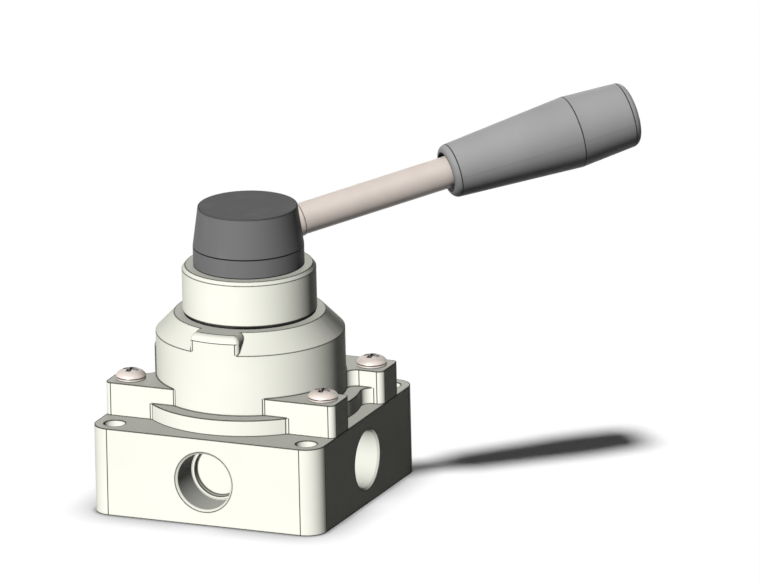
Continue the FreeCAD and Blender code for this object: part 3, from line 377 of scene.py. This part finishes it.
def markLines():
    # Where the position mark's sides start to round.
    look = castingLook
    radius, rounding = look["barrelRadius"], look["markSideRound"]
    centreX = look["markHalfWidth"] - rounding
    centreY = math.sqrt((radius - rounding) ** 2 - centreX ** 2)
    share = radius / (radius - rounding)
    low, high = look["barrelTop"] + look["faceSlack"], look["coneTop"] - look["markTopRound"]
    return [(look["markHalfWidth"], centreY, low, high), (centreX * share, centreY * share, low, high)]


def dressCover(paint, colour, normal):
    # The painted shadow under the collar, and fine lines where the lugs' and the position mark's roundings
    # start.
    look = castingLook
    level = paint.along(zAxis)
    across = paint.fromAxis()
    # Painted shadow: the cone's top under the collar is made near-black.
    under = (across < collarShadeLook["radius"]) * (level > collarShadeLook["level"])
    colour = paint.mix(under, colour, tint(collarShadeLook["colour"]))
    front = abs(level - (look["coneTop"] - look["markTopRound"])) < look["lineWidth"]
    front = front * (across > look["barrelRadius"] - look["faceSlack"])
    top = abs(across - (look["barrelRadius"] - look["markTopRound"])) < look["topLineWidth"]
    top = top * (level > look["coneTop"] - look["faceSlack"])
    inFront = paint.along(yAxis) < 0
    onMark = inFront * (abs(paint.along(xAxis)) < look["markHalfWidth"] - look["faceSlack"])
    starts = (front + top) * onMark + inFront * paint.uprights(markLines(), enamelLook["startWidth"])
    starts = starts + paint.uprights(lugLines(), enamelLook["startWidth"])
    return paint.mix(starts * enamelLook["startShare"], colour, tint(enamelLook["lineColour"])), normal


def dressBlock(paint, colour, normal):
    # Turned ports, and a fine line where each corner's rounding starts.
    look = portLook
    middle = (0, 0, look["level"])
    walls, insides, places = 0, 0, 0
    for axis in (yAxis, xAxis):
        away = paint.fromAxis(axis, middle)
        inside = away < look["reach"]
        walls = (abs(away - look["wall"]) < look["wallSlack"]) + walls
        insides = inside + insides
        places = inside * (abs(paint.along(axis, middle)) + away) + places
    # The bores' walls are a darker grey: partly the machined metal's own tone, partly painted shade inside
    # the ports.
    colour = paint.mix(walls, colour, tint(look["wallColour"]))
    starts = paint.uprights(blockLines(), enamelLook["startWidth"])
    colour = paint.mix(starts * enamelLook["startShare"], colour, tint(enamelLook["lineColour"]))
    marks = paint.rings(places, look["markScale"])
    return colour, paint.bump(marks * insides, look["markDepth"], normal)


def makeEnamel(name, dress=None):
    # Ivory enamel over a fine-grained casting, with dark lines along its edges and painted shade in its
    # corners.
    material, paint = newPaint(name)
    look = enamelLook
    patches = paint.ramp(paint.noise(look["patchScale"], look["patchDetail"]), *look["patchRamp"])
    colour = paint.mix(patches, tint(look["colour"]), tint(look["colour"], look["patchTone"]))
    colour = paint.mix(paint.edges(look["lineReach"]) * look["lineShare"], colour, tint(look["lineColour"]))
    # Painted shade: the enamel greys where other faces stand close, in corners and creases; the same mask
    # also roughens it there.
    cornerShadeAndGrime = paint.ramp(paint.hidden(look["cornerReach"]), *look["cornerRamp"]) * look["cornerShare"]
    colour = paint.mix(cornerShadeAndGrime, colour, tint(look["cornerColour"]))
    grain = paint.noise(look["grainScale"], look["grainDetail"])
    height = grain + look["speckShare"] * paint.noise(look["speckScale"], look["speckDetail"])
    normal = paint.bump(height, look["grainDepth"], paint.rounded(look["edge"]))
    if dress:
        colour, normal = dress(paint, colour, normal)
    roughness = look["roughness"] + look["grainRoughness"] * (grain - noiseMean)
    roughness = roughness + look["cornerRoughness"] * cornerShadeAndGrime
    paint.finish({"Base Color": colour, "Roughness": roughness, "Normal": normal, "IOR": look["gloss"]})
    return material


capLook = {
    "colour": (0.158, 0.158, 0.16), "roughness": 0.5, "gloss": 1.12, "edge": 0.00018,
    "scuffScale": 160, "scuffDetail": 5, "scuffStretch": (1, 1, 0.35), "scuffRamp": (0.52, 0.8),
    "scuffShare": 0.35, "scuffColour": (0.22, 0.22, 0.22), "scuffPolish": 0.08,
    "grainScale": 3600, "grainDetail": 2, "grainDepth": 0.00003, "grainShare": 0.18, "grainTone": 0.7,
    "grainRoughness": 0.12,
    "seamLevel": 0.0827, "seamWidth": 0.00022, "lineReach": 0.0007, "lineShare": 0.95,
    "lineColour": (0.006, 0.006, 0.006),
}


def makeCapPlastic():
    # Dark moulded plastic with a spark-eroded grain and a seam where the band ends.
    material, paint = newPaint("capPlastic")
    look = capLook
    grain = paint.noise(look["grainScale"], look["grainDetail"])
    scuffs = paint.noise(look["scuffScale"], look["scuffDetail"], look["scuffStretch"])
    scuffs = paint.ramp(scuffs, *look["scuffRamp"])
    colour = paint.mix(scuffs * look["scuffShare"], tint(look["colour"]), tint(look["scuffColour"]))
    colour = paint.mix(grain * look["grainShare"], colour, tint(look["colour"], look["grainTone"]))
    seam = abs(paint.along(zAxis, (0, 0, look["seamLevel"]))) < look["seamWidth"]
    for lines in (paint.edges(look["lineReach"]), seam):
        colour = paint.mix(lines * look["lineShare"], colour, tint(look["lineColour"]))
    normal = paint.bump(grain - seam, look["grainDepth"], paint.rounded(look["edge"]))
    roughness = look["roughness"] + look["grainRoughness"] * (grain - noiseMean)
    roughness = roughness - look["scuffPolish"] * scuffs
    paint.finish({"Base Color": colour, "Roughness": roughness, "Normal": normal, "IOR": look["gloss"]})
    return material


# The lever's direction and where its axis meets the stem's.
leverLine = {"tilt": 10, "bearing": 45, "level": 0.0855}
leverStart = (0, 0, leverLine["level"])


def leverDirection(raised=0):
    # Along the lever, or raised from there by some degrees.
    tilt, bearing = math.radians(leverLine["tilt"] + raised), math.radians(leverLine["bearing"])
    return (math.cos(tilt) * math.cos(bearing), math.cos(tilt) * math.sin(bearing), math.sin(tilt))


gripLook = {
    "colour": (0.44, 0.44, 0.442), "roughness": 0.44, "gloss": 1.12, "edge": 0.0002,
    "handledScale": 60, "handledDetail": 4, "handledRamp": (0.4, 0.75), "handledShare": 0.5,
    "handledColour": (0.37, 0.37, 0.37), "handledPolish": 0.06,
    "grainScale": 3000, "grainDetail": 2, "grainDepth": 0.00003, "grainShare": 0.15, "grainTone": 0.75,
    "grainRoughness": 0.12,
    "rings": (0.0716, 0.1135, 0.1319), "lineWidth": 0.0002, "ringDepth": 2, "lineReach": 0.0007,
    "lineShare": 0.85, "lineColour": (0.02, 0.02, 0.02),
    "partingWidth": 0.00012, "partingShare": 0.25, "partingDepth": 1.5,
    "mouthDepth": 0.07125, "mouthRadius": 0.00648, "mouthShare": 0.9,
}


def makeGripPlastic():
    # Grey moulded plastic with a fine grain, a mould line along its sides, lines round its crest and ends,
    # and painted shade in the mouth round the rod.
    material, paint = newPaint("gripPlastic")
    look = gripLook
    grain = paint.noise(look["grainScale"], look["grainDetail"])
    handled = paint.ramp(paint.noise(look["handledScale"], look["handledDetail"]), *look["handledRamp"])
    colour = paint.mix(handled * look["handledShare"], tint(look["colour"]), tint(look["handledColour"]))
    colour = paint.mix(grain * look["grainShare"], colour, tint(look["colour"], look["grainTone"]))
    outward = paint.along(leverDirection(), leverStart)
    inner, crest, outer = (abs(outward - place) < look["lineWidth"] for place in look["rings"])
    rings = inner + crest + outer
    parting = abs(paint.along(leverDirection(90), leverStart)) < look["partingWidth"]
    for lines in (paint.edges(look["lineReach"]), rings):
        colour = paint.mix(lines * look["lineShare"], colour, tint(look["lineColour"]))
    colour = paint.mix(parting * look["partingShare"], colour, tint(look["handledColour"]))
    # Painted shade: the mouth of the hole round the rod is made nearly black.
    mouthShade = paint.fromAxis(leverDirection(), leverStart) < look["mouthRadius"]
    mouthShade = mouthShade * (outward < look["mouthDepth"])
    colour = paint.mix(mouthShade * look["mouthShare"], colour, tint(look["lineColour"]))
    height = grain - look["ringDepth"] * rings + look["partingDepth"] * parting
    normal = paint.bump(height, look["grainDepth"], paint.rounded(look["edge"]))
    roughness = look["roughness"] + look["grainRoughness"] * (grain - noiseMean)
    roughness = roughness - look["handledPolish"] * handled
    paint.finish({"Base Color": colour, "Roughness": roughness, "Normal": normal, "IOR": look["gloss"]})
    return material


# Each metal: colour, its darker tone, metallic, roughness, how fine its marks are, and how deep.
metalLooks = {
    "platedRod": ((0.8, 0.705, 0.64), (0.68, 0.6, 0.55), 0.06, 0.4, 5200, 0.000008),
    "platedSteel": ((0.88, 0.78, 0.715), (0.74, 0.655, 0.6), 0.3, 0.36, 4200, 0.000008),
    "lappedSteel": ((0.62, 0.62, 0.64), (0.54, 0.54, 0.56), 0.9, 0.26, 7000, 0.000004),
    "groundSteel": ((0.52, 0.52, 0.54), (0.42, 0.42, 0.44), 0.9, 0.34, 5200, 0.000008),
    # Painted shade: a near-black tone for the detent plate, which shows only through the gap under the
    # collar.
    "gapShadeSteel": ((0.02, 0.02, 0.021), (0.012, 0.012, 0.012), 0.1, 0.62, 5200, 0.000008),
    "blackSteel": ((0.07, 0.07, 0.075), (0.04, 0.04, 0.042), 0.6, 0.5, 3800, 0.00001),
    "springSteel": ((0.45, 0.45, 0.46), (0.33, 0.33, 0.34), 0.9, 0.4, 6000, 0.00001),
    "bronze": ((0.7, 0.5, 0.27), (0.58, 0.4, 0.21), 0.85, 0.36, 4600, 0.00001),
}

# How a metal's edge lines are found: reach, lowest and highest bend, samples.
metalEdges = {"outside": (0.0005, 0.004, 0.012, 16), "inside": (0.0005, 0.008, 0.03, 6)}

metalWear = {
    "patchScale": 140, "patchDetail": 4, "patchRamp": (0.35, 0.7), "patchShare": 0.5, "patchRoughness": 0.1,
    "markShare": 0.3, "markRoughness": 0.12, "edge": 0.00015, "lineShare": 0.85, "lineTone": 0.12,
    "hollowReach": 0.002, "hollowRamp": (0.15, 0.42), "hollowShare": 0.95,
    "seamWidth": 0.0002, "seamShare": 0.9, "seamTone": 0.03,
}


def makeMetal(name, axis=zAxis, start=origin, seams=None, place="inside"):
    # Turned metal: rings along and out from its axis, a slow change of tone, a dark line at each seam and,
    # with seams, painted shade in its recesses.
    material, paint = newPaint(name)
    colour, dark, metallic, roughness, markScale, markDepth = metalLooks[name]
    look = metalWear
    marks = paint.rings(paint.along(axis, start) + paint.fromAxis(axis, start), markScale)
    patches = paint.ramp(paint.noise(look["patchScale"], look["patchDetail"]), *look["patchRamp"])
    shade = paint.mix(patches * look["patchShare"], tint(colour), tint(dark))
    shade = paint.mix(marks * look["markShare"], shade, tint(dark))
    lines = paint.edges(*metalEdges[place]) * look["lineShare"]
    shade = paint.mix(lines, shade, tint(dark, look["lineTone"]))
    if seams:
        # Painted shade: darker where other faces stand close, as in the screws' cross recesses.
        recessShade = paint.ramp(paint.hidden(look["hollowReach"]), *look["hollowRamp"])
        shade = paint.mix(recessShade * look["hollowShare"], shade, tint(dark, look["seamTone"]))
        lower, upper = (abs(paint.along(zAxis, (0, 0, level))) < look["seamWidth"] for level in seams)
        shade = paint.mix((lower + upper) * look["seamShare"], shade, tint(dark, look["seamTone"]))
    normal = paint.bump(marks, markDepth, paint.rounded(look["edge"]))
    roughness = roughness + look["markRoughness"] * (marks - noiseMean) + look["patchRoughness"] * patches
    paint.finish({"Base Color": shade, "Metallic": metallic, "Roughness": roughness, "Normal": normal})
    return material


rubberLook = {
    "colour": (0.02, 0.02, 0.021), "bloomColour": (0.055, 0.055, 0.055), "bloomScale": 700, "bloomDetail": 4,
    "bloomRamp": (0.35, 0.75), "bloomShare": 0.6, "roughness": 0.6, "bloomRoughness": 0.2,
    "grainScale": 5200, "grainDetail": 2, "grainDepth": 0.00002,
}


def makeRubber():
    # Black nitrile with a dry bloom.
    material, paint = newPaint("sealRubber")
    look = rubberLook
    bloom = paint.ramp(paint.noise(look["bloomScale"], look["bloomDetail"]), *look["bloomRamp"])
    colour = paint.mix(bloom * look["bloomShare"], tint(look["colour"]), tint(look["bloomColour"]))
    normal = paint.bump(paint.noise(look["grainScale"], look["grainDetail"]), look["grainDepth"])
    roughness = look["roughness"] + look["bloomRoughness"] * bloom
    paint.finish({"Base Color": colour, "Roughness": roughness, "Normal": normal})
    return material


bearingLook = {
    "colour": (0.84, 0.84, 0.8), "markColour": (0.74, 0.74, 0.7), "markScale": 3800, "markShare": 0.4,
    "markDepth": 0.00001, "roughness": 0.4, "markRoughness": 0.15,
}


def makeBearingPlastic():
    # Off-white bearing plastic with faint facing marks.
    material, paint = newPaint("bearingPlastic")
    look = bearingLook
    marks = paint.rings(paint.fromAxis(), look["markScale"])
    colour = paint.mix(marks * look["markShare"], tint(look["colour"]), tint(look["markColour"]))
    roughness = look["roughness"] + look["markRoughness"] * marks
    normal = paint.bump(marks, look["markDepth"])
    paint.finish({"Base Color": colour, "Roughness": roughness, "Normal": normal})
    return material


def paintNodes():
    # Each node gets the finish of its material slot, or its own.
    finishes = {
        "body_enamel": makeEnamel("bodyEnamel"),
        "cap_plastic": makeCapPlastic(), "grip_plastic": makeGripPlastic(),
        "plated_steel": makeMetal("platedSteel"), "lapped_steel": makeMetal("lappedSteel"),
        "hard_steel": makeMetal("groundSteel"), "black_steel": makeMetal("blackSteel"),
        "spring_steel": makeMetal("springSteel"), "bearing_bronze": makeMetal("bronze"),
        "bearing_plastic": makeBearingPlastic(), "seal_rubber": makeRubber(),
    }
    ownFinishes = {
        "valve_block": makeEnamel("blockEnamel", dressBlock),
        "cover": makeEnamel("coverEnamel", dressCover),
        # Painted shade: the plate is coloured near-black so that the gap under the collar stays dark.
        "detent_plate": makeMetal("gapShadeSteel"),
        "lever_rod": makeMetal("platedRod", leverDirection(), leverStart, place="outside"),
    }
    for part in frame["record"]["subparts"]:
        shown = frame["nodes"][part["node"]]
        finish = ownFinishes.get(part["node"], finishes[part["material_slot"]])
        for materialSlot in shown.material_slots:
            materialSlot.material = finish
        if not shown.material_slots:
            shown.data.materials.append(finish)
        shown.visible_diffuse = False  # as in the photo, no surface lights another one
    return len(finishes) + len(ownFinishes)


print("finishes made:", paintNodes())


screwLook = {
    "placeX": 0.0336, "placeY": 0.01955, "seat": 0.040,
    "headRadius": 0.0049, "headHeight": 0.00334, "rim": 0.0009, "rimRound": 0.00006,
    "crossWidth": 0.0013, "crossReach": 0.0024, "crossDepth": 0.0019, "crossSlope": 0.00012,
    "crossRise": 0.6,
    "shankRadius": 0.0025, "shankLength": 0.024, "shankChamfer": 0.0004,
    "rings": 64, "spokes": 144, "sharpAngle": 24,
}


def recess(x, y):
    # Depth of the cross recess at a place on the head: four wings that rise towards their ends.
    look = screwLook
    half, reach = look["crossWidth"] / 2, look["crossReach"]
    x, y = abs(x), abs(y)
    inside = max(min(half - y, reach - x), min(half - x, reach - y))
    if inside <= 0:
        return 0.0
    wall = min(1.0, inside / look["crossSlope"])
    rise = 1 - look["crossRise"] * math.hypot(x, y) / reach
    return look["crossDepth"] * wall * rise


def addRow(points, placeX, placeY, radius, level, onHead):
    # One ring of points round a screw's axis, which dips into the recess on the head.
    first = len(points)
    for spoke in range(screwLook["spokes"]):
        angle = 2 * math.pi * spoke / screwLook["spokes"]
        x, y = radius * math.cos(angle), radius * math.sin(angle)
        height = level - recess(x, y) if onHead else level
        points.append((placeX + x, placeY + y, screwLook["seat"] + height))
    return range(first, len(points))


def addScrew(points, faces, placeX, placeY):
    # From the middle of the head down to the shank's tip.
    look = screwLook
    dome = look["headHeight"] - look["rim"]
    rows = []
    for ring in range(1, look["rings"] + 1):
        lean = math.pi / 2 * ring / look["rings"]
        radius, level = look["headRadius"] * math.sin(lean), look["rim"] + dome * math.cos(lean)
        rows.append(addRow(points, placeX, placeY, radius, level, True))
    for radius, level in ((look["headRadius"], look["rimRound"]),
                          (look["headRadius"] - look["rimRound"], 0),
                          (look["shankRadius"], 0),
                          (look["shankRadius"], look["shankChamfer"] - look["shankLength"]),
                          (look["shankRadius"] - look["shankChamfer"], -look["shankLength"])):
        rows.append(addRow(points, placeX, placeY, radius, level, False))
    centre, tip = len(points), len(points) + 1
    points.append((placeX, placeY, look["seat"] + look["headHeight"] - look["crossDepth"]))
    points.append((placeX, placeY, look["seat"] - look["shankLength"]))
    for spoke in range(look["spokes"]):
        after = (spoke + 1) % look["spokes"]
        faces.append((centre, rows[0][spoke], rows[0][after]))
        for inner, outer in zip(rows, rows[1:]):
            faces.append((inner[spoke], outer[spoke], outer[after], inner[after]))
        faces.append((rows[-1][spoke], tip, rows[-1][after]))


def makeCoverScrews():
    # Four pan-head screws in one mesh, each head domed on a straight rim.
    look = screwLook
    points, faces = [], []
    for placeX in (-look["placeX"], look["placeX"]):
        for placeY in (-look["placeY"], look["placeY"]):
            addScrew(points, faces, placeX, placeY)
    mesh = bpy.data.meshes.new("coverScrews")
    mesh.from_pydata(points, [], faces)
    mesh.shade_smooth()
    mesh.set_sharp_from_angle(angle=math.radians(look["sharpAngle"]))
    seams = (look["seat"], look["seat"] + look["rim"])
    mesh.materials.append(makeMetal("platedSteel", seams=seams, place="outside"))
    screws = bpy.data.objects.new("coverScrews", mesh)
    bpy.context.scene.collection.objects.link(screws)
    screws.visible_diffuse = False
    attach(screws, "valve")
    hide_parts("cover_screws")


makeCoverScrews()
print("cover screws made")
